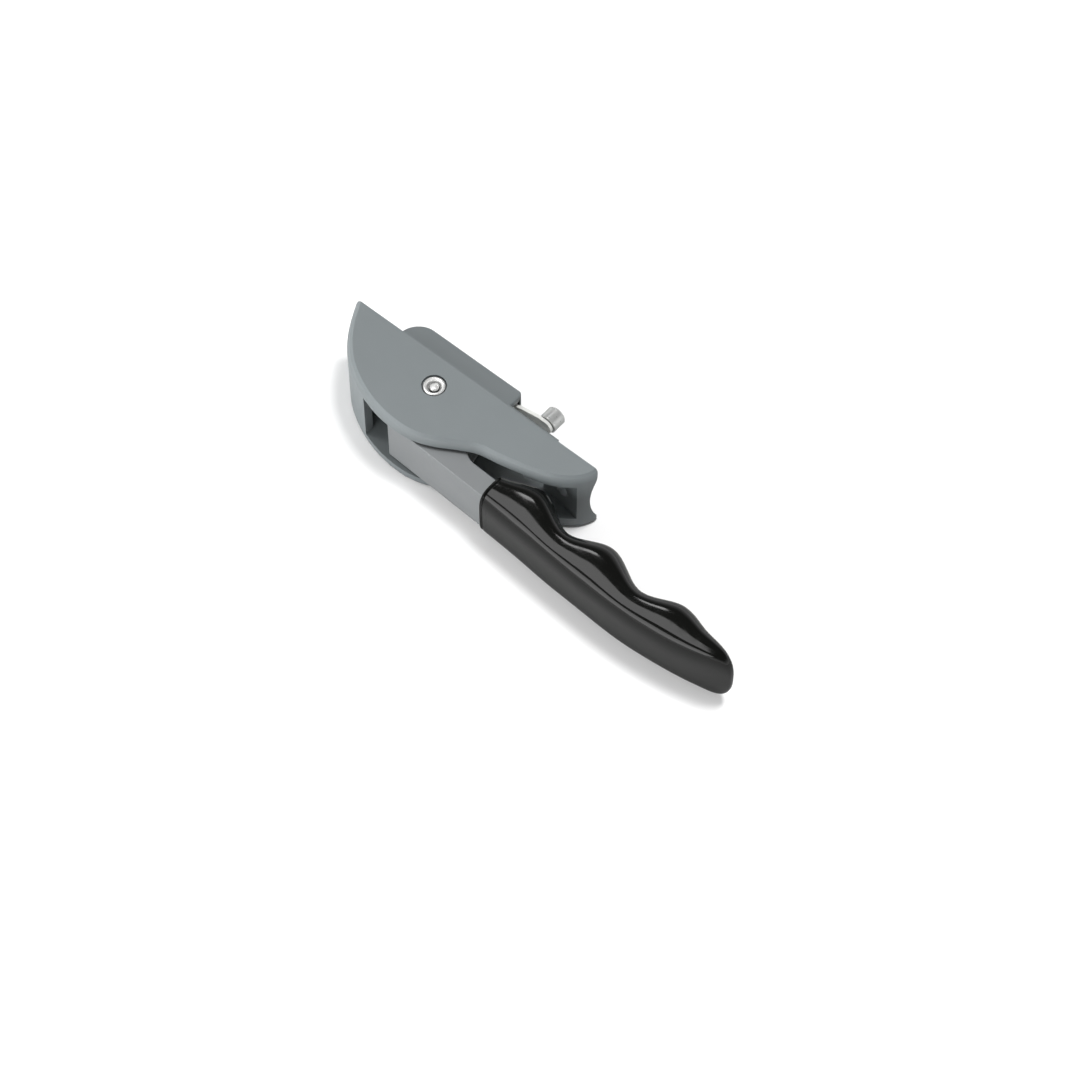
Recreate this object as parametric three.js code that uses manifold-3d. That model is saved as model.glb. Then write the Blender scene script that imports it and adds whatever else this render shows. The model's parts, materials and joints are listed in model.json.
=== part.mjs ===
// Spring-latched lever handle: a cast housing that rivets onto a round arm, a channel-section lever
// with a moulded grip, and a hinged latch arm whose locking pin the lever draws back.
// Millimetres. +X runs from the closed nose of the housing to the end of the grip, +Y is the way the
// locking pin points (out of the mounting side) and +Z is up, along every pivot.
import * as THREE from "three";
import { mergeVertices } from "three/addons/utils/BufferGeometryUtils.js";
import Module from "manifold-3d";

const wasm = await Module();
wasm.setup();

// ---------------------------------------------------------------- driving dimensions
const HOUSING_WIDTH = 25.4;
const MID = HOUSING_WIDTH / 2;
const LOWER_CHEEK = 3.5;
const UPPER_CHEEK = 3.0;
const LIP_ROUND = 3.0; // radius of the upper cheek's rolled lip
const LIP_CREST = 0.28; // its arc would crest this far above the cheek, so that it meets the flat at a crease
const LOWER_LIP_ROUND = 1.3;
const MOUNT_PLANE = 0;
const RAIL = 1.3; // flat land along each cheek's mounting edge
const SADDLE_DEPTH = 3.4;
const WEB_INNER = -6.2; // inner face of the webs that take the mounting rivets
const NOSE_WEB_END = 12.5;
const TAIL_WEB = { from: 76, innerFrom: -4.7, innerTo: -6.6 }; // its inner face slopes down to the tail wall
const TAIL_CHEEKS = { lower: 4.7, upper: 3.9 }; // the cheeks are thicker round the tail window
const WALL = 3.0;
const NOSE_OPENING = 22.6; // where the nose wall stops and the belly opens
const TAIL_OPENING = 90.6; // where the tail wall starts again
// One rib on each cheek, for the arm's slot.
const RIB = { from: 17.5, to: 77, root: -2.5, proud: 1.0, inset: 0.9, thickness: 2.2 };
const TAIL_CORNER = { x: 92.1, y: -1.4, radius: 1.4 };
const NOSE_CORNER = { x: -0.73, y: -0.8, radius: 0.8 };
const MOUNT_HOLE_RADIUS = 2.5; // clears a 3/16 in blind rivet
const MOUNT_HOLES = [8.0, 84.0];

const PIVOT = { x: 36.9, y: -8.7 };
const PIVOT_RADIUS = 2.4;
const RIVET_RIM_RADIUS = 3.45;
const COUNTERBORE_RADIUS = 3.85;
const COUNTERBORE_DEPTH = 0.9;
const MANDREL_RADIUS = 1.45;

const AXLE = { x: 20.8, y: -1.6 };
const AXLE_RADIUS = 1.5;
const AXLE_END = 1.6; // the axle's ends sit in blind sockets in the cheeks
const RUNNING_GAP = 0.1;
const DRIVE = { x: 50.1, y: -6.0 };
const DRIVE_RADIUS = 1.5;
const DRIVE_SLIDE = 1.1; // how far the drive pin slides along its slots over the full stroke
const DRIVE_LOBE = 3.1;
const SLOT_GAP = 0.25;
const SPACER_RADIUS = 3.5;
const WASHER_RADIUS = 5.4;
const WASHER_PLAY = 0.15;

const LEVER_WIDTH = 17.0;
const LEVER_SHEET = 1.4;
const LEVER_HEEL = { x: 33.0, y: -25.4 };
const HEEL_SLOPE = 0.04;
const GUIDE_WIDTH = 13.8;
const GUIDE_WALL = 1.3;
const GUIDE_END = 56.0;
const GUIDE_TOP = 9.3;
const GUIDE_NOSE = { x: 20.8, y: 2.0 };
const GUIDE_NOSE_RADIUS = 7.3;
const GUIDE_LOBE = 5.2; // round the pivot
const GUIDE_HEM = -3.6; // edge of its side plates, clear of the drive pin
const ARM_WIDTH = 9.4;
const ARM_SHEET = 1.2;
const ARM_FLANGE_SHEET = 1.3;
const ARM_FACE = 3.96; // outer face of the arm's strip, from the latch axle
const TONGUE_HEIGHT = 5.0;
const TONGUE_GAP = 1.8; // play above and below the tongue in the guide's slot
const TONGUE_SLOPE = THREE.MathUtils.degToRad(8.85);

const LOCK_PIN_RADIUS = 3.175; // quarter-inch pin
const LOCK_PIN_ROOT = 9.0;
const LOCK_PIN_TIP = 14.0;
const SHANK_RADIUS = 1.5;
const SHANK_LENGTH = 0.7; // a blind spigot in the tongue's seat
const LOCK_PIN_X = 65.6;

const GRIP_START = 71.6;
const GRIP_WIDTH = 20.9;
const GRIP_TIP = 162.5;
const GRIP_ROUND_FROM = 155.0;
const GRIP_SIDES = 32;
const FRONT_POWERS = { y: 2.6, z: 2.6 }; // superellipse powers of its cross-section
const BACK_POWERS = { y: 3.3, z: 4.2 };
const SWELL = 0.07; // how far the sides follow the finger bumps out and in
const SWELL_MIDDLE = -16.5;
const CAP_POWER = 0.62; // the end of the grip: lower is blunter
const CAP_NARROWING = 1.15; // how much faster the end narrows than it thins
const BLADE_END = 148.0; // the lever's end inside the grip
const MOUTH_SKIN = 1.4; // vinyl over the lever's back, at the mouth of the grip
const DEEP_SKIN = 2.3; // and further in

const SPRING_WIRE = 0.35; // wire radius
const SPRING_RADIUS = 1.95; // to the middle of the wire
const SPRING_PITCH = 0.85;
const SPRING_TURNS = 5;

// ---------------------------------------------------------------- solids
function solid(geometry) {
  const bare = geometry.clone();
  bare.deleteAttribute("normal");
  bare.deleteAttribute("uv");
  const merged = mergeVertices(bare, 1e-4);
  return new wasm.Manifold(new wasm.Mesh({
    numProp: 3,
    vertProperties: new Float32Array(merged.attributes.position.array),
    triVerts: new Uint32Array(merged.index.array),
  }));
}

function geometryOf(manifold) {
  const mesh = manifold.getMesh();
  const geometry = new THREE.BufferGeometry();
  geometry.setAttribute("position", new THREE.BufferAttribute(mesh.vertProperties, 3));
  geometry.setIndex(new THREE.BufferAttribute(mesh.triVerts, 1));
  geometry.computeVertexNormals();
  return geometry;
}

function slab(shape, z0, z1, options = {}) {
  const geometry = new THREE.ExtrudeGeometry(shape, {
    depth: z1 - z0,
    bevelEnabled: false,
    curveSegments: 10,
    ...options,
  });
  geometry.translate(0, 0, z0);
  return solid(geometry);
}

function box(x0, x1, y0, y1, z0, z1) {
  const geometry = new THREE.BoxGeometry(x1 - x0, y1 - y0, z1 - z0);
  geometry.translate((x0 + x1) / 2, (y0 + y1) / 2, (z0 + z1) / 2);
  return solid(geometry);
}

function rodZ(x, y, radius, z0, z1, sides = 32) {
  const geometry = new THREE.CylinderGeometry(radius, radius, z1 - z0, sides);
  geometry.rotateX(Math.PI / 2);
  geometry.translate(x, y, (z0 + z1) / 2);
  return solid(geometry);
}

function rodY(x, z, radius, y0, y1, sides = 32) {
  const geometry = new THREE.CylinderGeometry(radius, radius, y1 - y0, sides);
  geometry.translate(x, (y0 + y1) / 2, z);
  return solid(geometry);
}

// A turned piece standing along Z: profile points are [radius, height] from the bottom up.
function turnedZ(x, y, profile, sides = 40) {
  const geometry = new THREE.LatheGeometry(profile.map(([r, z]) => new THREE.Vector2(r, z)), sides);
  geometry.rotateX(Math.PI / 2);
  geometry.translate(x, y, 0);
  return solid(geometry);
}

function polygon(points) {
  return new THREE.Shape(points.map(([x, y]) => new THREE.Vector2(x, y)));
}

// A slot or strap with round ends between two points.
function capsule(from, to, radius) {
  const along = Math.atan2(to.y - from.y, to.x - from.x);
  const shape = new THREE.Shape();
  shape.absarc(from.x, from.y, radius, along + Math.PI / 2, along + 1.5 * Math.PI, false);
  shape.absarc(to.x, to.y, radius, along - Math.PI / 2, along + Math.PI / 2, false);
  shape.closePath();
  return shape;
}

function spline(points) {
  return new THREE.SplineCurve(points.map(([x, y]) => new THREE.Vector2(x, y)));
}

// The height of a curve that runs steadily along X, at one place on X.
function heightAt(curve, x) {
  let low = 0;
  let high = 1;
  for (let i = 0; i < 30; i += 1) {
    const middle = (low + high) / 2;
    if (curve.getPoint(middle).x < x) low = middle;
    else high = middle;
  }
  return curve.getPoint(low).y;
}

// ---------------------------------------------------------------- housing
const BELLY = spline([
  [-4.9, 6.0], [-2.1, 0.0], [3.6, -10.1], [11.0, -18.0], [20.0, -23.2], [29.0, -26.0],
  [37.5, -26.8], [44.0, -26.0], [50.0, -23.6], [56.0, -20.0], [61.5, -17.2], [69.0, -15.7],
  [78.0, -13.4], [85.0, -10.8], [90.3, -7.0], [93.2, -2.6], [94.0, 3.0],
]);

// The belly, carried on well past the mounting plane so that the rounding of the lips runs out there.
function housingOutline() {
  const points = BELLY.getPoints(80);
  const start = points[0];
  const end = points.at(-1);
  return new THREE.Shape([
    new THREE.Vector2(start.x - 9, start.y + 20),
    ...points,
    new THREE.Vector2(end.x + 3, end.y + 20),
  ]);
}

// The inner face of the nose wall follows the belly at an even thickness.
function noseWallInside() {
  const points = [];
  for (let i = 0; i <= 24; i += 1) {
    const t = 0.02 + 0.01 * i;
    const on = BELLY.getPoint(t);
    const along = BELLY.getTangent(t);
    points.push([on.x - along.y * WALL, on.y + along.x * WALL]);
  }
  return points.filter(([x, y]) => x < NOSE_OPENING && y < WEB_INNER);
}

// Everything between the cheeks that is open: the belly, and the mounting side between the two webs.
function housingHollow() {
  const noseWall = noseWallInside();
  return polygon([
    [NOSE_WEB_END, 12],
    [NOSE_WEB_END, WEB_INNER],
    ...noseWall,
    [NOSE_OPENING, noseWall.at(-1)[1]],
    [NOSE_OPENING, -40],
    [TAIL_OPENING, -40],
    [TAIL_OPENING, TAIL_WEB.innerTo],
    [TAIL_WEB.from, TAIL_WEB.innerFrom],
    [TAIL_WEB.from, 12],
  ]);
}

// The round arm that the handle is riveted to, as the tool that shapes the mounting side.
function armTube() {
  const halfChord = MID - RAIL;
  const radius = (halfChord ** 2 + SADDLE_DEPTH ** 2) / (2 * SADDLE_DEPTH);
  const geometry = new THREE.CylinderGeometry(radius, radius, 120, 96);
  geometry.rotateZ(Math.PI / 2);
  geometry.translate(45, MOUNT_PLANE - SADDLE_DEPTH + radius, MID);
  return solid(geometry);
}

// Takes off what stands outside a rounded corner, where an end of the housing meets the mounting plane.
function cornerCutter({ x, y, radius }, side) {
  const reach = 6;
  const square = box(Math.min(x, x + side * reach), Math.max(x, x + side * reach), y, y + reach, -5, 40);
  return square.subtract(rodZ(x, y, radius, -6, 41, 48));
}

// The outline with rounded edges, from one height to another.
function roundedSlab(z0, z1, radius) {
  return slab(housingOutline(), z0 + radius, z1 - radius, {
    bevelEnabled: true,
    bevelThickness: radius,
    bevelSize: radius,
    bevelOffset: -radius,
    bevelSegments: 4,
  });
}

function housing() {
  const hollow = slab(housingHollow(), LOWER_CHEEK, HOUSING_WIDTH - UPPER_CHEEK)
    .subtract(box(TAIL_WEB.from, 120, -50, 20, 0, TAIL_CHEEKS.lower))
    .subtract(box(TAIL_WEB.from, 120, -50, 20, HOUSING_WIDTH - TAIL_CHEEKS.upper, HOUSING_WIDTH));
  const spare = 6; // each rounded slab runs on past the other's rounded edge
  let body = roundedSlab(-spare, HOUSING_WIDTH + LIP_CREST, LIP_ROUND)
    .intersect(roundedSlab(0, HOUSING_WIDTH + spare, LOWER_LIP_ROUND))
    .intersect(box(-20, 120, -50, 40, 0, HOUSING_WIDTH))
    .subtract(box(-20, 120, MOUNT_PLANE, 40, -5, 40))
    .subtract(hollow)
    .subtract(armTube())
    .subtract(cornerCutter(TAIL_CORNER, 1))
    .subtract(cornerCutter(NOSE_CORNER, -1));
  for (const low of [RIB.inset, HOUSING_WIDTH - RIB.inset - RIB.thickness]) {
    body = body.add(box(RIB.from, RIB.to, RIB.root, MOUNT_PLANE + RIB.proud, low, low + RIB.thickness));
  }
  for (const x of MOUNT_HOLES) {
    body = body.subtract(rodY(x, MID, MOUNT_HOLE_RADIUS, WEB_INNER - 3, 5));
  }
  body = body.subtract(rodZ(PIVOT.x, PIVOT.y, PIVOT_RADIUS + RUNNING_GAP, -1, HOUSING_WIDTH + 1));
  for (const face of [0, HOUSING_WIDTH]) {
    const low = face - COUNTERBORE_DEPTH;
    body = body.subtract(rodZ(PIVOT.x, PIVOT.y, COUNTERBORE_RADIUS, low, face + COUNTERBORE_DEPTH));
  }
  const socket = AXLE_END - RUNNING_GAP;
  return body.subtract(rodZ(AXLE.x, AXLE.y, AXLE_RADIUS + RUNNING_GAP, socket, HOUSING_WIDTH - socket));
}

// ---------------------------------------------------------------- pin guide
function guideOutline() {
  const corner = 1.4;
  const shape = new THREE.Shape();
  shape.moveTo(GUIDE_NOSE.x, GUIDE_NOSE.y - GUIDE_NOSE_RADIUS);
  shape.lineTo(PIVOT.x - GUIDE_LOBE, GUIDE_NOSE.y - GUIDE_NOSE_RADIUS);
  shape.lineTo(PIVOT.x - GUIDE_LOBE, PIVOT.y);
  shape.absarc(PIVOT.x, PIVOT.y, GUIDE_LOBE, Math.PI, 2 * Math.PI, false);
  shape.lineTo(PIVOT.x + GUIDE_LOBE, GUIDE_HEM);
  shape.lineTo(GUIDE_END, GUIDE_HEM);
  shape.lineTo(GUIDE_END, GUIDE_TOP - corner);
  shape.absarc(GUIDE_END - corner, GUIDE_TOP - corner, corner, 0, Math.PI / 2, false);
  shape.lineTo(GUIDE_NOSE.x, GUIDE_TOP);
  shape.absarc(GUIDE_NOSE.x, GUIDE_NOSE.y, GUIDE_NOSE_RADIUS, Math.PI / 2, 1.5 * Math.PI, false);
  return shape;
}

function guideHollow() {
  const inner = GUIDE_NOSE_RADIUS - GUIDE_WALL;
  const shape = new THREE.Shape();
  shape.moveTo(GUIDE_NOSE.x - inner, -30);
  shape.lineTo(GUIDE_END - GUIDE_WALL, -30);
  shape.lineTo(GUIDE_END - GUIDE_WALL, GUIDE_TOP - GUIDE_WALL);
  shape.lineTo(GUIDE_NOSE.x, GUIDE_TOP - GUIDE_WALL);
  shape.absarc(GUIDE_NOSE.x, GUIDE_NOSE.y, inner, Math.PI / 2, Math.PI, false);
  return shape;
}

function pinGuide() {
  const low = MID - GUIDE_WIDTH / 2;
  const high = MID + GUIDE_WIDTH / 2;
  const slotHalf = TONGUE_HEIGHT / 2 + TONGUE_GAP;
  const slotTop = GUIDE_TOP - GUIDE_WALL;
  const tongueSlot = box(GUIDE_END - 2, GUIDE_END + 2, 1, slotTop, MID - slotHalf, MID + slotHalf);
  return slab(guideOutline(), low, high)
    .subtract(slab(guideHollow(), low + GUIDE_WALL, high - GUIDE_WALL))
    .subtract(tongueSlot)
    .subtract(rodZ(PIVOT.x, PIVOT.y, PIVOT_RADIUS + RUNNING_GAP, 0, HOUSING_WIDTH))
    .subtract(rodZ(AXLE.x, AXLE.y, AXLE_RADIUS + RUNNING_GAP, 0, HOUSING_WIDTH));
}

// ---------------------------------------------------------------- pivot
function pivotRivet() {
  const floor = COUNTERBORE_DEPTH - 0.1;
  const end = (side) => [
    [MANDREL_RADIUS + 0.15, 1.6],
    [MANDREL_RADIUS + 0.75, 0.35],
    [RIVET_RIM_RADIUS - 0.6, 0.15],
    [RIVET_RIM_RADIUS - 0.1, 0.35],
    [RIVET_RIM_RADIUS, floor],
    [PIVOT_RADIUS, floor],
  ].map(([r, z]) => [r, side > 0 ? HOUSING_WIDTH - z : z]);
  const lower = end(-1);
  const upper = end(1).reverse();
  return turnedZ(PIVOT.x, PIVOT.y, [...lower, ...upper, lower[0]]);
}

function rivetMandrel() {
  const dome = [[0, 0.55], [0.8, 0.7], [MANDREL_RADIUS, 1.2]];
  const upper = dome.map(([r, z]) => [r, HOUSING_WIDTH - z]).reverse();
  return turnedZ(PIVOT.x, PIVOT.y, [...dome, ...upper], 28);
}

function tubeZ(at, outer, inner, z0, z1) {
  return rodZ(at.x, at.y, outer, z0, z1, 40).subtract(rodZ(at.x, at.y, inner, z0 - 1, z1 + 1, 40));
}

function pivotSpacer() {
  const half = GUIDE_WIDTH / 2 - GUIDE_WALL - 0.15;
  return tubeZ(PIVOT, SPACER_RADIUS, PIVOT_RADIUS + 0.2, MID - half, MID + half);
}

// A washer fills the gap between the lever and a cheek, but for a little play.
function pivotWasher(leverSide, cheekInside) {
  const low = Math.min(leverSide, cheekInside) + WASHER_PLAY;
  const high = Math.max(leverSide, cheekInside) - WASHER_PLAY;
  return tubeZ(PIVOT, WASHER_RADIUS, PIVOT_RADIUS + 0.2, low, high);
}

// ---------------------------------------------------------------- lever and grip
const GRIP_BACK = spline([
  [60.0, -27.6], [71.5, -28.3], [86.0, -29.3], [100.0, -30.3], [112.0, -31.0], [123.0, -31.3],
  [134.0, -30.9], [145.0, -29.6], [156.0, -27.1], [166.0, -23.8],
]);
const GRIP_FINGERS = spline([
  [64.0, -19.0], [73.0, -15.9], [84.0, -12.0], [98.0, -18.6], [111.5, -13.8], [126.3, -19.9],
  [139.0, -15.5], [149.5, -18.0], [156.5, -19.6], [166.0, -23.0],
]);

// The lever's back inside the grip, one skin of vinyl in from the grip's own back.
function bladeBack(margin) {
  const points = [];
  for (let x = GRIP_START; x <= BLADE_END + 0.01; x += (BLADE_END - GRIP_START) / 12) {
    const skin = THREE.MathUtils.lerp(MOUTH_SKIN, DEEP_SKIN, THREE.MathUtils.smoothstep(x, GRIP_START, 95));
    points.push([x, heightAt(GRIP_BACK, x) + skin - margin]);
  }
  return points;
}

const BLADE_FRONT = [[BLADE_END, -24.0], [138.0, -22.8], [125.0, -22.6], [98.0, -21.2], [GRIP_START, -19.9]];

function leverOutline() {
  const lobe = 6.2;
  const shape = new THREE.Shape();
  shape.moveTo(LEVER_HEEL.x, LEVER_HEEL.y);
  for (const [x, y] of bladeBack(0)) shape.lineTo(x, y);
  for (const [x, y] of BLADE_FRONT) shape.lineTo(x, y);
  shape.lineTo(62.0, -19.6);
  shape.bezierCurveTo(57.5, -19.4, 54.6, -15.0, DRIVE.x + DRIVE_LOBE, DRIVE.y);
  shape.absarc(DRIVE.x, DRIVE.y, DRIVE_LOBE, 0, Math.PI / 2, false);
  shape.lineTo(PIVOT.x, PIVOT.y + lobe - 0.4);
  shape.absarc(PIVOT.x, PIVOT.y, lobe - 0.4, Math.PI / 2, Math.PI, false);
  shape.lineTo(LEVER_HEEL.x - 0.6, LEVER_HEEL.y + 6);
  return shape;
}

function leverInside() {
  const back = bladeBack(0).map(([x, y]) => [x, y + LEVER_SHEET]);
  const heel = [LEVER_HEEL.x - 20, LEVER_HEEL.y + LEVER_SHEET + 20 * HEEL_SLOPE];
  return polygon([heel, ...back, [BLADE_END + 20, back.at(-1)[1]], [BLADE_END + 20, 30], [heel[0], 30]]);
}

function lever() {
  const low = MID - LEVER_WIDTH / 2;
  const high = MID + LEVER_WIDTH / 2;
  return slab(leverOutline(), low, high)
    .subtract(slab(leverInside(), low + LEVER_SHEET, high - LEVER_SHEET))
    .subtract(rodZ(PIVOT.x, PIVOT.y, PIVOT_RADIUS + 0.15, 0, HOUSING_WIDTH))
    .subtract(rodZ(DRIVE.x, DRIVE.y, DRIVE_RADIUS + RUNNING_GAP, 0, HOUSING_WIDTH));
}

// One cross-section of the grip: boxy at the back, rounder where the fingers go.
function gripRing(x, scale) {
  const back = heightAt(GRIP_BACK, x);
  const front = heightAt(GRIP_FINGERS, x);
  const middle = (front + back) / 2;
  const depth = ((front - back) / 2) * scale;
  const width = (GRIP_WIDTH / 2 + SWELL * (front - SWELL_MIDDLE)) * scale ** CAP_NARROWING;
  const ring = [];
  for (let i = 0; i < GRIP_SIDES; i += 1) {
    const angle = (2 * Math.PI * i) / GRIP_SIDES;
    const powers = Math.sin(angle) > 0 ? FRONT_POWERS : BACK_POWERS;
    const y = Math.sign(Math.sin(angle)) * Math.abs(Math.sin(angle)) ** (2 / powers.y);
    const z = Math.sign(Math.cos(angle)) * Math.abs(Math.cos(angle)) ** (2 / powers.z);
    ring.push([x, middle + depth * y, MID + width * z]);
  }
  return ring;
}

function gripStations() {
  const stations = [];
  const steps = Math.round((GRIP_ROUND_FROM - GRIP_START) / 2);
  for (let i = 0; i <= steps; i += 1) {
    stations.push([GRIP_START + ((GRIP_ROUND_FROM - GRIP_START) * i) / steps, 1]);
  }
  const capSteps = 8;
  for (let i = 1; i < capSteps; i += 1) {
    const turn = (Math.PI / 2) * (i / capSteps);
    const x = GRIP_ROUND_FROM + (GRIP_TIP - GRIP_ROUND_FROM) * Math.sin(turn) ** CAP_POWER;
    stations.push([x, Math.cos(turn) ** CAP_POWER]);
  }
  return stations;
}

function loft(rings, tip) {
  const sides = rings[0].length;
  const points = rings.flat();
  const triangles = [];
  for (let r = 0; r + 1 < rings.length; r += 1) {
    for (let i = 0; i < sides; i += 1) {
      const a = r * sides + i;
      const b = r * sides + ((i + 1) % sides);
      triangles.push(a, a + sides, b, b, a + sides, b + sides);
    }
  }
  const start = points.length;
  const centre = rings[0].reduce((sum, p) => sum.map((v, k) => v + p[k] / sides), [0, 0, 0]);
  points.push(centre, tip);
  const last = (rings.length - 1) * sides;
  for (let i = 0; i < sides; i += 1) {
    const next = (i + 1) % sides;
    triangles.push(start, i, next, start + 1, last + next, last + i);
  }
  const geometry = new THREE.BufferGeometry();
  geometry.setAttribute("position", new THREE.Float32BufferAttribute(points.flat(), 3));
  geometry.setIndex(triangles);
  return solid(geometry);
}

function grip() {
  const rings = gripStations().map(([x, scale]) => gripRing(x, scale));
  const tipHeight = (heightAt(GRIP_BACK, GRIP_TIP) + heightAt(GRIP_FINGERS, GRIP_TIP)) / 2;
  const body = loft(rings, [GRIP_TIP, tipHeight, MID]);
  const gap = 0.3;
  const back = bladeBack(gap);
  const front = BLADE_FRONT.map(([x, y]) => [x, y + gap]);
  const pocket = polygon([
    [GRIP_START - 5, back[0][1]],
    ...back,
    [BLADE_END + gap, back.at(-1)[1]],
    [BLADE_END + gap, front[0][1]],
    ...front,
    [GRIP_START - 5, front.at(-1)[1]],
  ]);
  const half = LEVER_WIDTH / 2 + gap;
  return body.subtract(slab(pocket, MID - half, MID + half));
}

function drivePin() {
  const end = MID - LEVER_WIDTH / 2 - 0.3;
  const lower = [[0, end], [DRIVE_RADIUS - 0.4, end], [DRIVE_RADIUS, end + 0.4]];
  const upper = lower.map(([r, z]) => [r, HOUSING_WIDTH - z]).reverse();
  return turnedZ(DRIVE.x, DRIVE.y, [...lower, ...upper], 28);
}

// ---------------------------------------------------------------- latch
// The arm's strip lies along its own line, turned by TONGUE_SLOPE about the latch axle.
function onArm(along, across) {
  const cos = Math.cos(TONGUE_SLOPE);
  const sin = Math.sin(TONGUE_SLOPE);
  return [AXLE.x + along * cos - across * sin, AXLE.y + along * sin + across * cos];
}

function latchArm() {
  const low = MID - ARM_WIDTH / 2;
  const high = MID + ARM_WIDTH / 2;
  const inner = ARM_FACE - ARM_SHEET;
  const web = polygon([onArm(4.8, inner), onArm(33.2, inner), onArm(33.2, ARM_FACE), onArm(4.8, ARM_FACE)]);
  const seatFace = LOCK_PIN_ROOT - 0.05;
  const bend = (seatFace - AXLE.y - ARM_FACE / Math.cos(TONGUE_SLOPE)) / Math.tan(TONGUE_SLOPE) + AXLE.x;
  const tongue = polygon([
    onArm(30, inner),
    [bend + 0.12, seatFace - ARM_SHEET],
    [LOCK_PIN_X, seatFace - ARM_SHEET],
    [LOCK_PIN_X, seatFace],
    [bend, seatFace],
    onArm(30, ARM_FACE),
  ]);
  const half = TONGUE_HEIGHT / 2;
  const seatEnd = rodY(LOCK_PIN_X, MID, half, seatFace - ARM_SHEET, seatFace);
  const flange = new THREE.Shape();
  flange.absarc(AXLE.x, AXLE.y, 3.6, Math.PI / 2, 1.45 * Math.PI, false);
  flange.lineTo(33.0, -2.4);
  flange.lineTo(41.5, -2.4);
  flange.lineTo(46.2, -8.2);
  flange.lineTo(48.0, -9.2);
  flange.lineTo(52.0, -9.2);
  flange.lineTo(54.2, -7.0);
  flange.lineTo(...onArm(33.2, inner + 0.5));
  flange.lineTo(...onArm(4.8, inner + 0.5));
  let body = slab(web, low, high)
    .add(slab(tongue, MID - half, MID + half))
    .add(seatEnd)
    .add(slab(flange, low, low + ARM_FLANGE_SHEET))
    .add(slab(flange, high - ARM_FLANGE_SHEET, high));
  const slot = capsule(DRIVE, { x: DRIVE.x + DRIVE_SLIDE, y: DRIVE.y }, DRIVE_RADIUS + SLOT_GAP);
  body = body.subtract(slab(slot, low - 1, high + 1));
  body = body.subtract(rodZ(AXLE.x, AXLE.y, AXLE_RADIUS + 0.15, low - 1, high + 1));
  const spigotEnd = LOCK_PIN_ROOT - SHANK_LENGTH - RUNNING_GAP;
  return body.subtract(rodY(LOCK_PIN_X, MID, SHANK_RADIUS + RUNNING_GAP, spigotEnd, seatFace + 1));
}

function latchAxle() {
  return rodZ(AXLE.x, AXLE.y, AXLE_RADIUS, AXLE_END, HOUSING_WIDTH - AXLE_END, 28);
}

function lockingPin() {
  const chamfer = 0.45;
  const profile = [
    [0, LOCK_PIN_ROOT - SHANK_LENGTH],
    [SHANK_RADIUS, LOCK_PIN_ROOT - SHANK_LENGTH],
    [SHANK_RADIUS, LOCK_PIN_ROOT],
    [LOCK_PIN_RADIUS, LOCK_PIN_ROOT],
    [LOCK_PIN_RADIUS, LOCK_PIN_TIP - chamfer],
    [LOCK_PIN_RADIUS - chamfer, LOCK_PIN_TIP],
    [0, LOCK_PIN_TIP],
  ];
  const geometry = new THREE.LatheGeometry(profile.map(([r, y]) => new THREE.Vector2(r, y)), 48);
  geometry.translate(LOCK_PIN_X, 0, MID);
  return solid(geometry);
}

class SpringWire extends THREE.Curve {
  // A leg under the arm's strip, the coil round the axle, and a leg that rests on the pivot spacer.
  getPoint(t, target = new THREE.Vector3()) {
    const coilLow = MID - (SPRING_TURNS * SPRING_PITCH) / 2;
    const legs = 0.2;
    const startAngle = Math.PI / 2;
    const sweep = 2 * Math.PI * (SPRING_TURNS + 0.5);
    if (t < legs) {
      const s = 1 - t / legs;
      return target.set(AXLE.x + 11 * s, AXLE.y + SPRING_RADIUS + 1.2 * s, coilLow);
    }
    if (t > 1 - legs) {
      const s = (t - 1 + legs) / legs;
      const top = coilLow + SPRING_TURNS * SPRING_PITCH;
      return target.set(AXLE.x + 16.4 * s, AXLE.y - SPRING_RADIUS - 1.1 * s, top);
    }
    const s = (t - legs) / (1 - 2 * legs);
    const angle = startAngle + sweep * s;
    return target.set(
      AXLE.x + SPRING_RADIUS * Math.cos(angle),
      AXLE.y + SPRING_RADIUS * Math.sin(angle),
      coilLow + SPRING_TURNS * SPRING_PITCH * s,
    );
  }
}

function latchSpring() {
  const section = new THREE.Shape();
  section.absarc(0, 0, SPRING_WIRE, 0, 2 * Math.PI, false);
  const geometry = new THREE.ExtrudeGeometry(section, {
    steps: 150,
    curveSegments: 3,
    bevelEnabled: false,
    extrudePath: new SpringWire(),
  });
  return solid(geometry);
}

// ---------------------------------------------------------------- assembly
const COLOURS = {
  castGrey: { color: 0x88919a, roughness: 0.5, metalness: 0.1 },
  paintGrey: { color: 0x969a9c, roughness: 0.45, metalness: 0.1 },
  vinyl: { color: 0x101010, roughness: 0.2, metalness: 0 },
  zinc: { color: 0xb8bab6, roughness: 0.35, metalness: 0.9 },
  steel: { color: 0xc8c8c8, roughness: 0.25, metalness: 1 },
  nylon: { color: 0xe0ddd2, roughness: 0.6, metalness: 0 },
};

function part(name, manifold, colour) {
  const mesh = new THREE.Mesh(geometryOf(manifold), new THREE.MeshStandardMaterial(COLOURS[colour]));
  mesh.name = name;
  return mesh;
}

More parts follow.
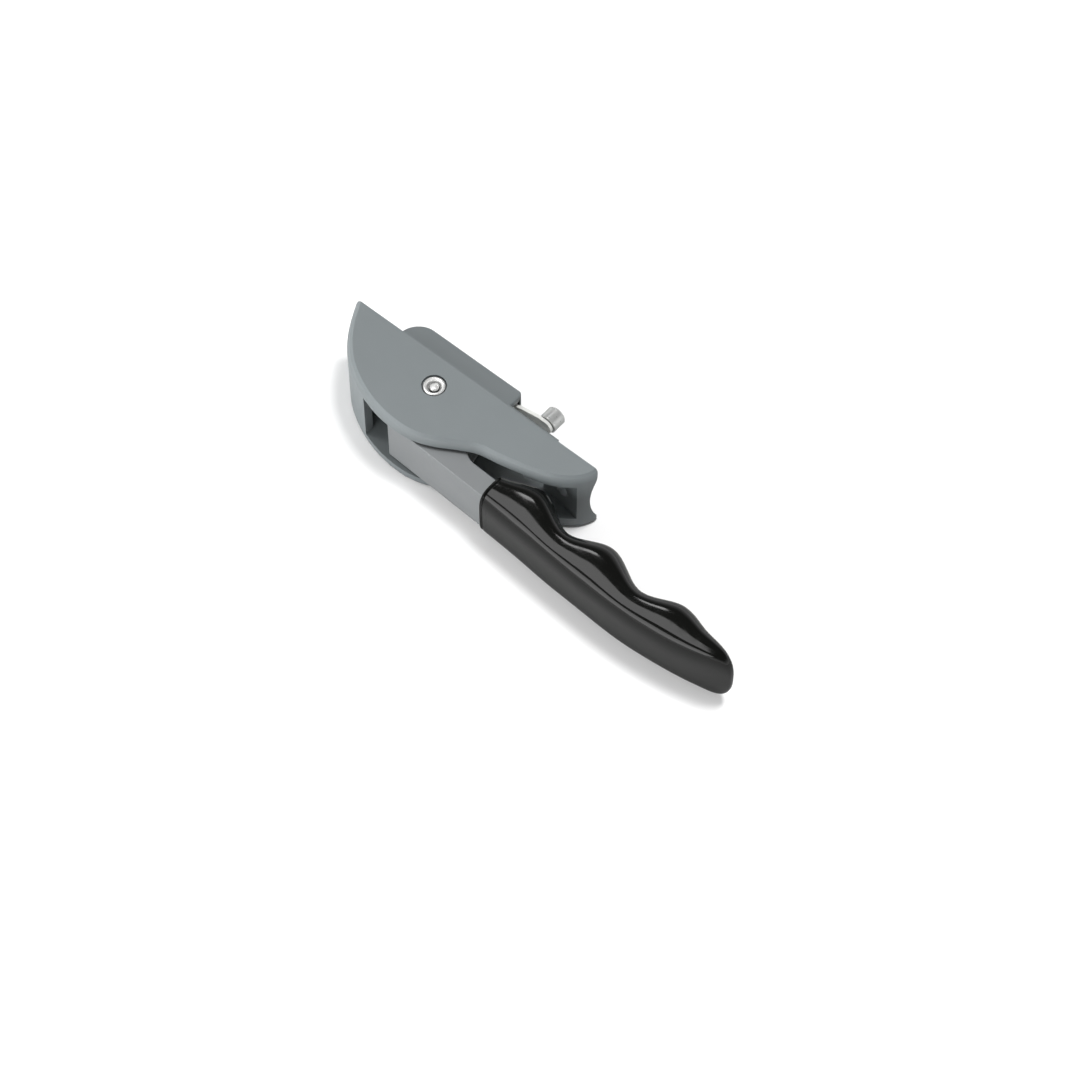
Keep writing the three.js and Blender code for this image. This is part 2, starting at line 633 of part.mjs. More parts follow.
const handle = new THREE.Group();
handle.add(
  part("housing", housing(), "castGrey"),
  part("pin_guide", pinGuide(), "castGrey"),
  part("pivot_rivet", pivotRivet(), "steel"),
  part("rivet_mandrel", rivetMandrel(), "steel"),
  part("pivot_spacer", pivotSpacer(), "zinc"),
  part("pivot_washer_lower", pivotWasher(MID - LEVER_WIDTH / 2, LOWER_CHEEK), "nylon"),
  part("pivot_washer_upper", pivotWasher(MID + LEVER_WIDTH / 2, HOUSING_WIDTH - UPPER_CHEEK), "nylon"),
  part("latch_axle", latchAxle(), "steel"),
  part("lever", lever(), "paintGrey"),
  part("grip", grip(), "vinyl"),
  part("drive_pin", drivePin(), "steel"),
  part("latch_arm", latchArm(), "zinc"),
  part("locking_pin", lockingPin(), "zinc"),
  part("latch_spring", latchSpring(), "steel"),
);

// The origin is the middle of the handle's footprint, on the surface that it lies on.
const bounds = new THREE.Box3().setFromObject(handle);
handle.position.set(-(bounds.min.x + bounds.max.x) / 2, -(bounds.min.y + bounds.max.y) / 2, -bounds.min.z);

export default handle;
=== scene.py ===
"""Looks of the spring-latched lever handle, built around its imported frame.

Lengths are millimetres on the handle's drawing, where X runs from the nose to the grip, Y out of the mounting
side and Z up through the width. at() turns them into the frame's metres, which the last section is in.
"""

import json
import math

import bmesh
import bpy
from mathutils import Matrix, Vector

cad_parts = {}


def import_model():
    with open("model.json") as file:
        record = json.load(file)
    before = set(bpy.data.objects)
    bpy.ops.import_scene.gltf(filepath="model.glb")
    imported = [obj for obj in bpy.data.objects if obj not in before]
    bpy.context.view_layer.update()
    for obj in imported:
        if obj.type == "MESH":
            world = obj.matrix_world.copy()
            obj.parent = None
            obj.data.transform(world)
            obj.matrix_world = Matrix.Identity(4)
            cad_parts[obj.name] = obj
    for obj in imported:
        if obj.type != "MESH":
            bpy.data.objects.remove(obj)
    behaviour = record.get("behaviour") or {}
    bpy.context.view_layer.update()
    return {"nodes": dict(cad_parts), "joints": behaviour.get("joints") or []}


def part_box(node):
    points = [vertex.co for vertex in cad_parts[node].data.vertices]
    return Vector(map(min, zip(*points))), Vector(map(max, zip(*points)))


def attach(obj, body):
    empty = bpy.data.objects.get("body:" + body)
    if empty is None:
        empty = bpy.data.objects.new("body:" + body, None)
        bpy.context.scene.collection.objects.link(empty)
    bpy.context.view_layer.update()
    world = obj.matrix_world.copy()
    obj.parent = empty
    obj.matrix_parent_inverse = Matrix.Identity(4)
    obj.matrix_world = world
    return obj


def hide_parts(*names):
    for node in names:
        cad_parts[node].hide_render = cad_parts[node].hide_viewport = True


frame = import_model()

# ---------------------------------------------------------------- the drawing's place in the frame
MM = 0.001
MID = 12.7  # half the housing's width: the middle plane
PIVOT = (36.9, -8.7)  # (x, y) of the rivet that the lever turns on
AXLE = (20.8, -1.6)  # of the latch arm's own pivot
DRIVE = (50.1, -6.0)  # of the pin that draws the latch arm back
LOCK_PIN_X = 65.6
LEVER_WIDTH = 17.0
GUIDE_WIDTH = 13.8
GUIDE_WALL = 1.3
LEVER_HINGE = Vector(next(j for j in frame["joints"] if j["name"] == "lever_hinge")["pos_m"])


def at(x, y, z):
    """A point of the drawing as a point of the frame."""
    return LEVER_HINGE + Vector((x - PIVOT[0], y - PIVOT[1], z - MID)) * MM


# ---------------------------------------------------------------- curves and lofts
TURNED_SIDES = 64
ROUNDING_STEPS = 3


def spline(points, samples):
    """A Catmull-Rom curve through the points, as a list of (x, y)."""
    ends = [points[0]] + list(points) + [points[-1]]
    curve = []
    spans = len(points) - 1
    for i in range(samples + 1):
        t = min(i / samples * spans, spans - 1e-9)
        k = int(t)
        t -= k
        p0, p1, p2, p3 = (Vector(p) for p in ends[k : k + 4])
        bend = 2 * p0 - 5 * p1 + 4 * p2 - p3
        twist = 3 * p1 - p0 - 3 * p2 + p3
        curve.append(0.5 * (2 * p1 + (p2 - p0) * t + bend * t**2 + twist * t**3))
    return curve


def height_at(curve, x):
    """The curve's Y where it passes x."""
    for a, b in zip(curve, curve[1:]):
        if b.x >= x:
            return a.y + (b.y - a.y) * (x - a.x) / (b.x - a.x)
    return curve[-1].y


def loft(bm, rings, capped=True):
    """Rings of drawing points joined into a skin, with a flat face over each end if capped."""
    rows = [[bm.verts.new(at(*p)) for p in ring] for ring in rings]
    sides = len(rows[0])
    for low, high in zip(rows, rows[1:]):
        for i in range(sides):
            j = (i + 1) % sides
            bm.faces.new((low[i], low[j], high[j], high[i]))
    if capped:
        bm.faces.new(list(reversed(rows[0])))
        bm.faces.new(rows[-1])
    return rows


def turned(bm, centre, profile, axis="Z"):
    """A body turned about Z through centre (x, y), or about Y through centre (x, z).

    The profile is (radius, height) pairs. If it starts on the axis it ends there, and otherwise it is a ring
    whose last point joins its first.
    """
    rings = []
    for radius, height in profile:
        ring = []
        for i in range(TURNED_SIDES):
            turn = 2 * math.pi * i / TURNED_SIDES
            u, v = radius * math.cos(turn), radius * math.sin(turn)
            if axis == "Z":
                ring.append((centre[0] + u, centre[1] + v, height))
            else:
                ring.append((centre[0] + u, height, centre[1] - v))
        rings.append(ring)
    rows = loft(bm, rings, capped=False)
    if profile[0][0] == 0:
        bmesh.ops.remove_doubles(bm, verts=rows[0] + rows[-1], dist=1e-7)
    else:
        for i in range(TURNED_SIDES):
            j = (i + 1) % TURNED_SIDES
            bm.faces.new((rows[-1][i], rows[-1][j], rows[0][j], rows[0][i]))


def rounded(profile, radius):
    """The profile with every corner but its two ends rounded."""
    result = [profile[0]]
    for a, b, c in zip(profile, profile[1:], profile[2:]):
        a, b, c = Vector(a), Vector(b), Vector(c)
        r = min(radius, (a - b).length * 0.45, (c - b).length * 0.45)
        start, end = b + (a - b).normalized() * r, b + (c - b).normalized() * r
        for i in range(ROUNDING_STEPS + 1):
            t = i / ROUNDING_STEPS
            point = start * (1 - t) ** 2 + b * 2 * t * (1 - t) + end * t**2
            result.append((point.x, point.y))
    result.append(profile[-1])
    return result


# ---------------------------------------------------------------- pieces
CREASE = 22  # degrees: edges sharper than this are shaded as creases
SHARP = 28  # and those sharper than this are rounded
JOIN = 3e-6  # metres: vertices closer than this are one
FLAT = 0.4  # degrees: triangles closer in slope than this are one face


def piece(name, bm, body, material, node):
    """A smooth-shaded mesh that rides on body and stands in for the CAD node."""
    bmesh.ops.recalc_face_normals(bm, faces=bm.faces)
    mesh = bpy.data.meshes.new(name)
    bm.to_mesh(mesh)
    bm.free()
    for polygon in mesh.polygons:
        polygon.use_smooth = True
    mesh.set_sharp_from_angle(angle=math.radians(CREASE))
    mesh.materials.append(material)
    obj = bpy.data.objects.new(name, mesh)
    bpy.context.scene.collection.objects.link(obj)
    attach(obj, body)
    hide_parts(node)
    return obj


def evenly_shaded(obj, weight=50):
    """Lets the large flat faces set the shading, and keeps the creases."""
    shading = obj.modifiers.new("shading", "WEIGHTED_NORMAL")
    shading.keep_sharp = True
    shading.weight = weight


def softened(obj, width, clamp=False):
    """Rounds the sharp edges by width in mm. Clamped, a rounding stops where it would meet another."""
    bevel = obj.modifiers.new("edges", "BEVEL")
    bevel.width = width * MM
    bevel.segments = 3
    bevel.limit_method = "ANGLE"
    bevel.angle_limit = math.radians(SHARP)
    bevel.use_clamp_overlap = clamp
    bevel.miter_outer = "MITER_ARC"
    evenly_shaded(obj, 60)


def cleaned(node):
    """A CAD node's solid with its triangles joined back into flat faces."""
    bm = bmesh.new()
    bm.from_mesh(frame["nodes"][node].data)
    bmesh.ops.remove_doubles(bm, verts=bm.verts, dist=JOIN)
    bmesh.ops.dissolve_degenerate(bm, edges=bm.edges, dist=JOIN)
    bmesh.ops.dissolve_limit(bm, angle_limit=math.radians(FLAT), verts=bm.verts, edges=bm.edges)
    return bm


# ---------------------------------------------------------------- materials
class Shader:
    """Short names for the nodes that the materials are made of."""

    def __init__(self, name):
        self.material = bpy.data.materials.new(name)
        self.material.use_nodes = True
        self.tree = self.material.node_tree
        self.bsdf = self.tree.nodes["Principled BSDF"]
        where = self.node("ShaderNodeTexCoord").outputs["Object"]
        self.mm = self.node("ShaderNodeVectorMath", operation="SCALE")
        self.link(where, self.mm.inputs[0])
        self.mm.inputs["Scale"].default_value = 1000.0

    def node(self, kind, **settings):
        node = self.tree.nodes.new(kind)
        for key, value in settings.items():
            setattr(node, key, value)
        return node

    def link(self, source, target):
        self.tree.links.new(source, target)

    def set(self, **values):
        for key, value in values.items():
            self.bsdf.inputs[key.replace("_", " ")].default_value = value

    def noise(self, per_mm, detail=3.0, rough=0.55, stretch=None):
        """Noise fixed to the piece, about per_mm patches to the mm, times stretch along each axis."""
        noise = self.node("ShaderNodeTexNoise")
        noise.inputs["Scale"].default_value = per_mm
        noise.inputs["Detail"].default_value = detail
        noise.inputs["Roughness"].default_value = rough
        source = self.mm.outputs[0]
        if stretch:
            scale = self.node("ShaderNodeVectorMath", operation="MULTIPLY")
            self.link(source, scale.inputs[0])
            scale.inputs[1].default_value = stretch
            source = scale.outputs[0]
        self.link(source, noise.inputs["Vector"])
        return noise.outputs["Fac"]

    def spread(self, value, low, high, to_low, to_high):
        """The value with low to high stretched out to to_low to to_high, and held at those ends."""
        spread = self.node("ShaderNodeMapRange")
        self.link(value, spread.inputs["Value"])
        for key, number in (("From Min", low), ("From Max", high), ("To Min", to_low), ("To Max", to_high)):
            spread.inputs[key].default_value = number
        return spread.outputs["Result"]

    def mix(self, share, a, b):
        """Colour a where share is 0, b where it is 1."""
        mix = self.node("ShaderNodeMix", data_type="RGBA")
        self.link(share, mix.inputs["Factor"])
        for socket, colour in ((mix.inputs[6], a), (mix.inputs[7], b)):
            if isinstance(colour, tuple):
                socket.default_value = (*colour, 1)
            else:
                self.link(colour, socket)
        return mix.outputs[2]

    def colour(self, source):
        self.link(source, self.bsdf.inputs["Base Color"])

    def roughness(self, source):
        self.link(source, self.bsdf.inputs["Roughness"])

    def bumps(self, *layers):
        """Each layer is (height, depth in mm, strength)."""
        normal = None
        for height, depth, strength in layers:
            bump = self.node("ShaderNodeBump")
            bump.inputs["Distance"].default_value = depth * MM
            bump.inputs["Strength"].default_value = strength
            self.link(height, bump.inputs["Height"])
            if normal:
                self.link(normal, bump.inputs["Normal"])
            normal = bump.outputs["Normal"]
        self.link(normal, self.bsdf.inputs["Normal"])

    def edges(self, radius):
        """0 on open faces, up to 1 on a convex or concave edge of about that radius in mm."""
        bevel = self.node("ShaderNodeBevel", samples=6)
        bevel.inputs["Radius"].default_value = radius * MM
        here = self.node("ShaderNodeNewGeometry").outputs["Normal"]
        dot = self.node("ShaderNodeVectorMath", operation="DOT_PRODUCT")
        self.link(bevel.outputs[0], dot.inputs[0])
        self.link(here, dot.inputs[1])
        return self.spread(dot.outputs["Value"], 1.0, 0.8, 0.0, 1.0)

    def painted_gap_shade(self, reach, least, most):
        """A mask for painted shade: from 0 where the share most of the space within reach mm is open to 1
        where only least is.
        """
        openness = self.node("ShaderNodeAmbientOcclusion", samples=8)
        openness.inputs["Distance"].default_value = reach * MM
        return self.spread(openness.outputs["AO"], most, least, 0.0, 1.0)


# painted shade: the share of its colour that a finish keeps where shade is painted deep in a gap
PAINTED_SHADE_SHARE = 0.1  # how much of its colour a finish keeps deep in a gap


def scaled(colour, factor):
    """The colour made lighter or darker."""
    return tuple(c * factor for c in colour)


def enamel(name, base, speck, gloss):
    """Sprayed enamel: a tone that drifts, fine specks, faint orange peel, edges paled partly as wear and
    partly as a painted highlight, and painted shade in hollows.
    """
    s = Shader(name)
    drift = s.mix(s.spread(s.noise(0.06), 0.35, 0.65, 0, 1), scaled(base, 0.98), scaled(base, 1.02))
    specks = s.spread(s.noise(1.7, 2.0), 0.66, 0.78, 0.0, 0.3)
    fine = s.mix(specks, drift, scaled(base, speck))
    # paler edges: partly wear, partly a painted highlight
    worn_and_highlit_edges = s.mix(s.edges(0.4), fine, scaled(base, 1.12))
    # painted shade: the colour darkens towards a tenth of itself where the space around is closed in
    s.colour(s.mix(s.painted_gap_shade(12.0, 0.12, 0.42), worn_and_highlit_edges, scaled(base, PAINTED_SHADE_SHARE)))
    s.roughness(s.spread(s.noise(0.25, 4.0), 0.3, 0.7, gloss - 0.015, gloss + 0.015))
    s.bumps((s.noise(1.3, 2.0), 0.012, 0.3), (s.noise(5.0, 2.0), 0.004, 0.2))
    s.set(IOR=1.6, Metallic=0.0)
    return s.material


def vinyl(name):
    """Dip-moulded vinyl: almost black, wet-looking, with slow waves and a few specks of dust."""
    s = Shader(name)
    dust = s.spread(s.noise(2.2, 2.0), 0.7, 0.76, 0.0, 0.35)
    s.colour(s.mix(dust, (0.0042, 0.0044, 0.0040), (0.03, 0.03, 0.028)))
    s.roughness(s.spread(s.noise(0.3, 3.0), 0.3, 0.7, 0.07, 0.13))
    s.bumps((s.noise(0.11, 2.0, 0.4), 0.5, 0.28), (s.noise(1.6, 2.0), 0.01, 0.2))
    s.set(IOR=1.5)
    return s.material


def plated(name, base, rough, grain=None, metallic=1.0):
    """Zinc plate or steel: a cloudy tone, painted shade in narrow gaps, with a grain where it has been drawn.
    """
    s = Shader(name)
    cloud = s.spread(s.noise(0.35, 4.0), 0.3, 0.7, 0, 1)
    unshaded = s.mix(cloud, scaled(base, 0.9), scaled(base, 1.06))
    # painted shade: the colour darkens towards a tenth of itself in narrow gaps
    s.colour(s.mix(s.painted_gap_shade(1.2, 0.25, 0.75), unshaded, scaled(base, PAINTED_SHADE_SHARE)))
    s.roughness(s.spread(s.noise(0.9, 4.0), 0.3, 0.7, rough - 0.07, rough + 0.1))
    layers = [(s.noise(2.5, 3.0), 0.012, 0.3)]
    if grain:
        layers.append((s.noise(1.0, 2.0, 0.5, grain), 0.01, 0.35))
    s.bumps(*layers)
    s.set(Metallic=metallic)
    return s.material


def natural_nylon(name):
    """Unpainted nylon: a warm white with a soft mottle."""
    s = Shader(name)
    s.colour(s.mix(s.spread(s.noise(0.5), 0.3, 0.7, 0, 1), (0.62, 0.60, 0.54), (0.74, 0.72, 0.66)))
    s.roughness(s.spread(s.noise(1.5), 0.3, 0.7, 0.42, 0.58))
    s.bumps((s.noise(3.0), 0.01, 0.3))
    return s.material


CAST_GREY = enamel("cast_enamel", (0.143, 0.160, 0.165), 0.9, 0.4)
SHEET_GREY = enamel("sheet_enamel", (0.152, 0.160, 0.164), 0.8, 0.4)
BLACK_VINYL = vinyl("black_vinyl")
ZINC = plated("zinc_plate", (0.80, 0.81, 0.78), 0.46, (0.3, 6.0, 6.0), 0.25)
TURNED_ZINC = plated("turned_zinc", (0.66, 0.67, 0.66), 0.32, (0.6, 9.0, 0.6), 0.6)
BRIGHT_STEEL = plated("bright_steel", (0.86, 0.86, 0.85), 0.28, None, 0.6)
SPRING_STEEL = plated("spring_steel", (0.45, 0.44, 0.42), 0.3)
NYLON = natural_nylon("natural_nylon")


# ---------------------------------------------------------------- casting and pressings
def castings():
    shell = piece("housing_shell", cleaned("housing"), "housing", CAST_GREY, "housing")
    softened(shell, 0.3, clamp=True)
    hood = piece("guide_hood", cleaned("pin_guide"), "housing", CAST_GREY, "pin_guide")
    softened(hood, 0.4)
    channel = piece("lever_channel", cleaned("lever"), "lever", SHEET_GREY, "lever")
    softened(channel, 0.35)
    arm = piece("latch_strip", cleaned("latch_arm"), "latch", ZINC, "latch_arm")
    softened(arm, 0.18)


# ---------------------------------------------------------------- grip
GRIP_SIDES = 96
GRIP_START = 71.6
GRIP_ROUND_FROM = 155.0  # where the end cap starts
GRIP_TIP = 162.5
GRIP_RINGS = 110
CAP_RINGS = 26
CURVE_SAMPLES = 400
CAP_POWER = 0.62
CAP_NARROWING = 1.15  # the cap closes in a little faster in width than in depth
GRIP_WIDTH = 20.9  # where the finger side is at Y = SWELL_MIDDLE
SWELL_MIDDLE = -16.5
SWELL = 0.07  # mm of half width for each mm that the finger side rises
FRONT_POWERS = (2.6, 2.6)  # superellipse powers across Y and Z
BACK_POWERS = (3.3, 4.2)
GRIP_BACK = spline(
    [(60.0, -27.6), (71.5, -28.3), (86.0, -29.3), (100.0, -30.3), (112.0, -31.0), (123.0, -31.3)]
    + [(134.0, -30.9), (145.0, -29.6), (156.0, -27.1), (166.0, -23.8)],
    CURVE_SAMPLES,
)
GRIP_FINGERS = spline(
    [(64.0, -19.0), (73.0, -15.9), (84.0, -12.0), (98.0, -18.6), (111.5, -13.8), (126.3, -19.9)]
    + [(139.0, -15.5), (149.5, -18.0), (156.5, -19.6), (166.0, -23.0)],
    CURVE_SAMPLES,
)
MOUTH_GROOVE = 0.45  # depth of the groove round the grip, and how far behind the mouth it is deepest
POCKET_DEPTH = 2.5
POCKET_STEP = 0.02  # keeps the pocket's edge off the mouth's
POCKET_WALL = 1.15  # vinyl between the pocket and the grip's back
POCKET_TOP = -19.6
POCKET_PLAY = 0.25  # on each side of the lever
POCKET_POWER = 0.12


def powered(value, power):
    """The value raised to a power, with its sign kept."""
    return math.copysign(abs(value) ** power, value)


def grip_ring(x, scale, inset=0.0):
    """One cross-section: boxy at the back, rounder where the fingers go."""
    back, front = height_at(GRIP_BACK, x), height_at(GRIP_FINGERS, x)
    middle, depth = (front + back) / 2, (front - back) / 2 * scale - inset
    width = (GRIP_WIDTH / 2 + SWELL * (front - SWELL_MIDDLE)) * scale**CAP_NARROWING - inset
    ring = []
    for i in range(GRIP_SIDES):
        turn = 2 * math.pi * i / GRIP_SIDES
        y_power, z_power = FRONT_POWERS if math.sin(turn) > 0 else BACK_POWERS
        y = powered(math.sin(turn), 2 / y_power)
        z = powered(math.cos(turn), 2 / z_power)
        ring.append((x, middle + depth * y, MID + width * z))
    return ring


def pocket_ring(x):
    """The inside of the grip's mouth, where it closes on the lever's channel."""
    low, high = height_at(GRIP_BACK, GRIP_START) + POCKET_WALL, POCKET_TOP
    half = LEVER_WIDTH / 2 + POCKET_PLAY
    ring = []
    for i in range(GRIP_SIDES):
        turn = 2 * math.pi * i / GRIP_SIDES
        y = powered(math.sin(turn), POCKET_POWER)
        z = powered(math.cos(turn), POCKET_POWER)
        ring.append((x, (low + high) / 2 + (high - low) / 2 * y, MID + half * z))
    return ring


def grip():
    rings = [pocket_ring(GRIP_START + POCKET_DEPTH), pocket_ring(GRIP_START + POCKET_STEP)]
    for turn in (90, 60, 30, 0):
        groove = MOUTH_GROOVE * (1 - math.sin(math.radians(turn)))
        rings.append(grip_ring(GRIP_START + groove, 1, inset=groove))
    start = GRIP_START + MOUTH_GROOVE
    length = GRIP_ROUND_FROM - GRIP_START - MOUTH_GROOVE
    for i in range(1, GRIP_RINGS + 1):
        rings.append(grip_ring(start + length * i / GRIP_RINGS, 1))
    for i in range(1, CAP_RINGS):
        turn = math.pi / 2 * i / CAP_RINGS
        x = GRIP_ROUND_FROM + (GRIP_TIP - GRIP_ROUND_FROM) * math.sin(turn) ** CAP_POWER
        rings.append(grip_ring(x, math.cos(turn) ** CAP_POWER))
    bm = bmesh.new()
    loft(bm, rings)
    piece("vinyl_grip", bm, "lever", BLACK_VINYL, "grip")


# ---------------------------------------------------------------- pivot, pins and spring
def mirrored(lower):
    """A profile closed by its own mirror image in the middle plane."""
    return list(lower) + [(r, 2 * MID - z) for r, z in reversed(lower)]


def turned_piece(name, centre, profile, body, material, node, axis="Z"):
    bm = bmesh.new()
    turned(bm, centre, profile, axis)
    evenly_shaded(piece(name, bm, body, material, node))


SPACER_RADIUS = 3.5
SPACER_BORE = 2.6  # radius
SPACER_CHAMFER = 0.2
SPACER_PLAY = 0.15  # between the spacer's end and the guide's wall
WASHER_RADIUS = 5.4
PIN_RADIUS = 1.5  # of the axle, the drive pin and the locking pin's neck
LOCK_RADIUS = 3.175
LOCK_CHAMFER = 0.455
AXLE_END = 1.6
DRIVE_PROUD = 0.3  # how far the drive pin stands out of the lever
DRIVE_CHAMFER = (0.38, 0.4)  # across and along the pin


def pivot():
    """A blind rivet: a tube with a rolled rim at each end, and its broken-off mandrel inside."""
    rim = [(1.62, 4.0), (1.62, 1.6), (1.95, 1.45), (2.12, 1.15), (2.25, 0.75), (2.42, 0.4), (2.62, 0.2)]
    rim += [(2.85, 0.14), (3.12, 0.19), (3.36, 0.4), (3.44, 0.62), (3.44, 0.8), (2.38, 0.8)]
    turned_piece("rivet_tube", PIVOT, mirrored(rim), "housing", BRIGHT_STEEL, "pivot_rivet")
    dome = rounded([(0, 0.57), (0.75, 0.62), (1.4, 0.95), (1.44, 1.5)], 0.4)
    turned_piece("rivet_core", PIVOT, mirrored(dome), "housing", BRIGHT_STEEL, "rivet_mandrel")
    end = MID - (GUIDE_WIDTH / 2 - GUIDE_WALL - SPACER_PLAY)
    tube = [(SPACER_BORE, end), (SPACER_RADIUS - SPACER_CHAMFER, end), (SPACER_RADIUS, end + SPACER_CHAMFER)]
    turned_piece("spacer_tube", PIVOT, mirrored(tube), "housing", ZINC, "pivot_spacer")
    for name in ("lower", "upper"):
        low, high = (corner.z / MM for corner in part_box(f"pivot_washer_{name}"))
        ring = [(SPACER_BORE, low), (WASHER_RADIUS, low), (WASHER_RADIUS, high), (SPACER_BORE, high)]
        ring = rounded(ring, 0.1)
        turned_piece(f"washer_{name}", PIVOT, ring, "housing", NYLON, f"pivot_washer_{name}")


def pins():
    axle = rounded([(0, AXLE_END), (PIN_RADIUS, AXLE_END), (PIN_RADIUS, MID)], 0.25)
    turned_piece("axle_pin", AXLE, mirrored(axle[:-1]), "housing", BRIGHT_STEEL, "latch_axle")
    end = MID - LEVER_WIDTH / 2 - DRIVE_PROUD
    across, along = DRIVE_CHAMFER
    drive = [(0, end), (PIN_RADIUS - across, end), (PIN_RADIUS, end + along), (PIN_RADIUS, MID)]
    drive = rounded(drive, 0.15)
    turned_piece("drive_stud", DRIVE, mirrored(drive[:-1]), "lever", BRIGHT_STEEL, "drive_pin")
    stem = [(0, 8.3), (PIN_RADIUS, 8.3), (PIN_RADIUS, 9.0), (LOCK_RADIUS, 9.0)]
    stem += [(LOCK_RADIUS, 13.5), (LOCK_RADIUS - LOCK_CHAMFER, 14.0), (0, 14.0)]
    stem = rounded(stem, 0.12)
    turned_piece("lock_stud", (LOCK_PIN_X, MID), stem, "latch", TURNED_ZINC, "locking_pin", axis="Y")


COIL_RADIUS = 1.95
COIL_LENGTH = 4.25
COIL_TURNS = 5.5  # from the leg above the axle to the leg below it
COIL_STEPS = 110
WIRE_RADIUS = 0.34
WIRE_SIDES = 12
STRIP_LEG = (11.0, 1.2, 12)  # reach in X, rise in Y and steps
SPACER_LEG = (16.4, -1.1, 16)


def spring():
    """A wire with a leg under the strip, turns round the axle, and a leg on the pivot spacer."""
    low = MID - COIL_LENGTH / 2
    high = low + COIL_LENGTH
    points = []
    reach, rise, steps = STRIP_LEG
    for i in range(steps):
        share = 1 - i / steps
        points.append((AXLE[0] + reach * share, AXLE[1] + COIL_RADIUS + rise * share, low))
    for i in range(COIL_STEPS + 1):
        share = i / COIL_STEPS
        angle = math.pi / 2 + 2 * math.pi * COIL_TURNS * share
        x, y = AXLE[0] + COIL_RADIUS * math.cos(angle), AXLE[1] + COIL_RADIUS * math.sin(angle)
        points.append((x, y, low + COIL_LENGTH * share))
    reach, rise, steps = SPACER_LEG
    for i in range(1, steps + 1):
        share = i / steps
        points.append((AXLE[0] + reach * share, AXLE[1] - COIL_RADIUS + rise * share, high))
    rings = []
    for i, point in enumerate(points):
        before, after = points[max(i - 1, 0)], points[min(i + 1, len(points) - 1)]
        ahead = (Vector(after) - Vector(before)).normalized()
        across = ahead.cross(Vector((0, 0, 1))).normalized()
        up = across.cross(ahead)
        ring = []
        for k in range(WIRE_SIDES):
            turn = 2 * math.pi * k / WIRE_SIDES
            ring.append(tuple(Vector(point) + (across * math.cos(turn) + up * math.sin(turn)) * WIRE_RADIUS))
        rings.append(ring)
    bm = bmesh.new()
    loft(bm, rings)
    piece("torsion_spring", bm, "housing", SPRING_STEEL, "latch_spring")


# ---------------------------------------------------------------- floor, light and camera, in metres
FLOOR_SIZE = 4.0
FLOOR_DROP = 0.00003  # keeps the floor clear of the handle's underside
LIGHTS_AIM = Vector((0, 0, 0.01))
WORLD_STRENGTH = 0.34
CEILING = ((0.15, 0.9), (0.45, 0.35), (0.62, 0.05))  # (height, brightness) stops of the mirrored sky
CAMERA_PLACE = (0.3445, -0.40315, 0.8234)
CAMERA_BACK = (0.3486, -0.4052, 0.8452)  # the direction from what it looks at to the camera
LENS = 110.0  # mm


def floor():
    """A pale matt floor, which the glossy pieces mirror dimmer than it is."""
    s = Shader("pale_floor")
    paper = s.mix(s.spread(s.noise(0.01), 0.35, 0.65, 0, 1), (0.90, 0.90, 0.90), (0.93, 0.93, 0.93))
    glossy_ray = s.node("ShaderNodeLightPath").outputs["Is Glossy Ray"]
    s.colour(s.mix(glossy_ray, paper, (0.38, 0.38, 0.38)))
    s.roughness(s.spread(s.noise(0.05), 0.3, 0.7, 0.75, 0.85))
    s.set(IOR=1.3)
    bm = bmesh.new()
    bmesh.ops.create_grid(bm, x_segments=8, y_segments=8, size=FLOOR_SIZE)
    mesh = bpy.data.meshes.new("floor")
    bm.to_mesh(mesh)
    bm.free()
    mesh.materials.append(s.material)
    obj = bpy.data.objects.new("floor", mesh)
    obj.location = (0, 0, -FLOOR_DROP)
    bpy.context.scene.collection.objects.link(obj)


def softbox(name, azimuth, elevation, distance, size, radiance, glossy=True, diffuse=True):
    """A rectangular panel that faces the handle, unseen by the camera. The angles are in degrees."""
    light = bpy.data.lights.new(name, "AREA")
    light.shape = "RECTANGLE"
    light.size, light.size_y = size
    light.energy = radiance * size[0] * size[1] * math.pi
    obj = bpy.data.objects.new(name, light)
    a, e = math.radians(azimuth), math.radians(elevation)
    away = Vector((math.cos(a) * math.cos(e), math.sin(a) * math.cos(e), math.sin(e)))
    obj.location = LIGHTS_AIM + away * distance
    obj.rotation_euler = away.to_track_quat("Z", "Y").to_euler()
    obj.visible_glossy = glossy
    obj.visible_diffuse = diffuse
    obj.visible_camera = False
    bpy.context.scene.collection.objects.link(obj)


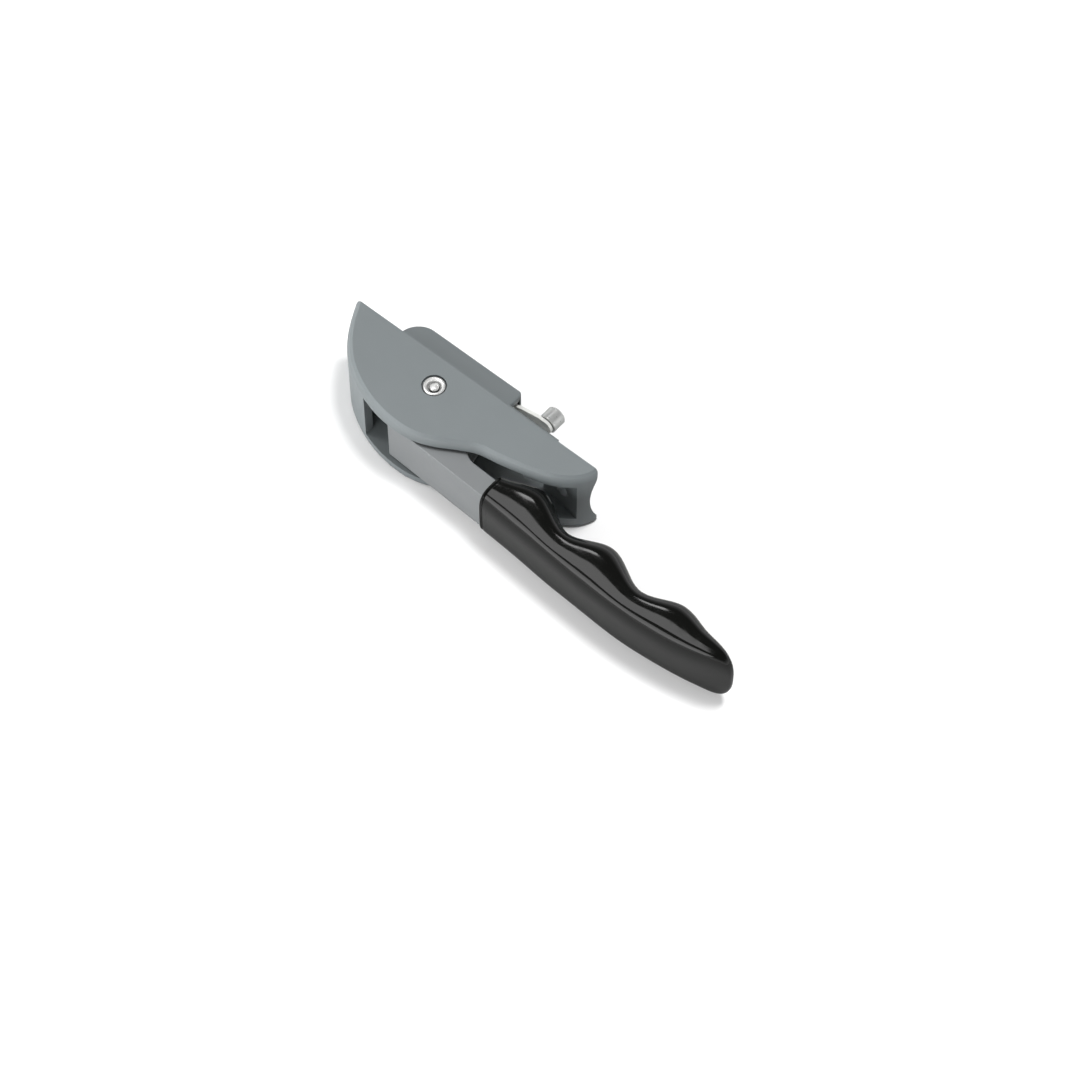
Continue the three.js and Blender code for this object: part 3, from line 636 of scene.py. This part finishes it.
def world():
    """A white studio: even for diffuse light, with a dim ceiling in what the glossy surfaces mirror."""
    sky = bpy.data.worlds.new("studio")
    bpy.context.scene.world = sky
    sky.use_nodes = True
    tree = sky.node_tree
    direction = tree.nodes.new("ShaderNodeTexCoord").outputs["Generated"]
    split = tree.nodes.new("ShaderNodeSeparateXYZ")
    tree.links.new(direction, split.inputs[0])
    ramp = tree.nodes.new("ShaderNodeValToRGB")
    tree.links.new(split.outputs["Z"], ramp.inputs[0])
    stops = ramp.color_ramp.elements
    stops[0].position, stops[0].color = 0.0, (1.0, 1.0, 1.0, 1)
    stops[1].position, stops[1].color = 1.0, (0.02, 0.02, 0.02, 1)
    for position, grey in CEILING:
        stop = stops.new(position)
        stop.color = (grey, grey, grey, 1)
    even = tree.nodes["Background"]
    even.inputs["Color"].default_value = (1.0, 1.0, 1.0, 1)
    even.inputs["Strength"].default_value = WORLD_STRENGTH
    mirrored_sky = tree.nodes.new("ShaderNodeBackground")
    tree.links.new(ramp.outputs["Color"], mirrored_sky.inputs["Color"])
    path = tree.nodes.new("ShaderNodeLightPath")
    mix = tree.nodes.new("ShaderNodeMixShader")
    tree.links.new(path.outputs["Is Glossy Ray"], mix.inputs[0])
    tree.links.new(even.outputs[0], mix.inputs[1])
    tree.links.new(mirrored_sky.outputs[0], mix.inputs[2])
    tree.links.new(mix.outputs[0], tree.nodes["World Output"].inputs["Surface"])


def camera():
    data = bpy.data.cameras.new("camera")
    data.lens = LENS
    data.sensor_width = 36.0
    data.clip_end = 20.0
    obj = bpy.data.objects.new("camera", data)
    obj.location = CAMERA_PLACE
    obj.rotation_euler = Vector(CAMERA_BACK).to_track_quat("Z", "Y").to_euler()
    bpy.context.scene.collection.objects.link(obj)
    bpy.context.scene.camera = obj


castings()
grip()
pivot()
pins()
spring()
floor()
world()
camera()
softbox("key", 55, 75, 1.0, (0.3, 0.3), 32.0, glossy=False)
softbox("fill", 272, 18, 1.2, (1.0, 0.6), 5.6, glossy=False)
softbox("nose_light", 200, 10, 0.9, (0.3, 0.2), 46.0, glossy=False)
softbox("lip_strip", 248, 28, 0.9, (0.9, 0.5), 2.3, diffuse=False)
softbox("finger_strip", 127, 54, 0.8, (0.1, 0.06), 6.5, diffuse=False)
softbox("shoulder_strip", 192, 69, 0.8, (0.62, 0.42), 2.3, diffuse=False)

bpy.context.scene.view_settings.view_transform = "Standard"
bpy.context.view_layer.update()
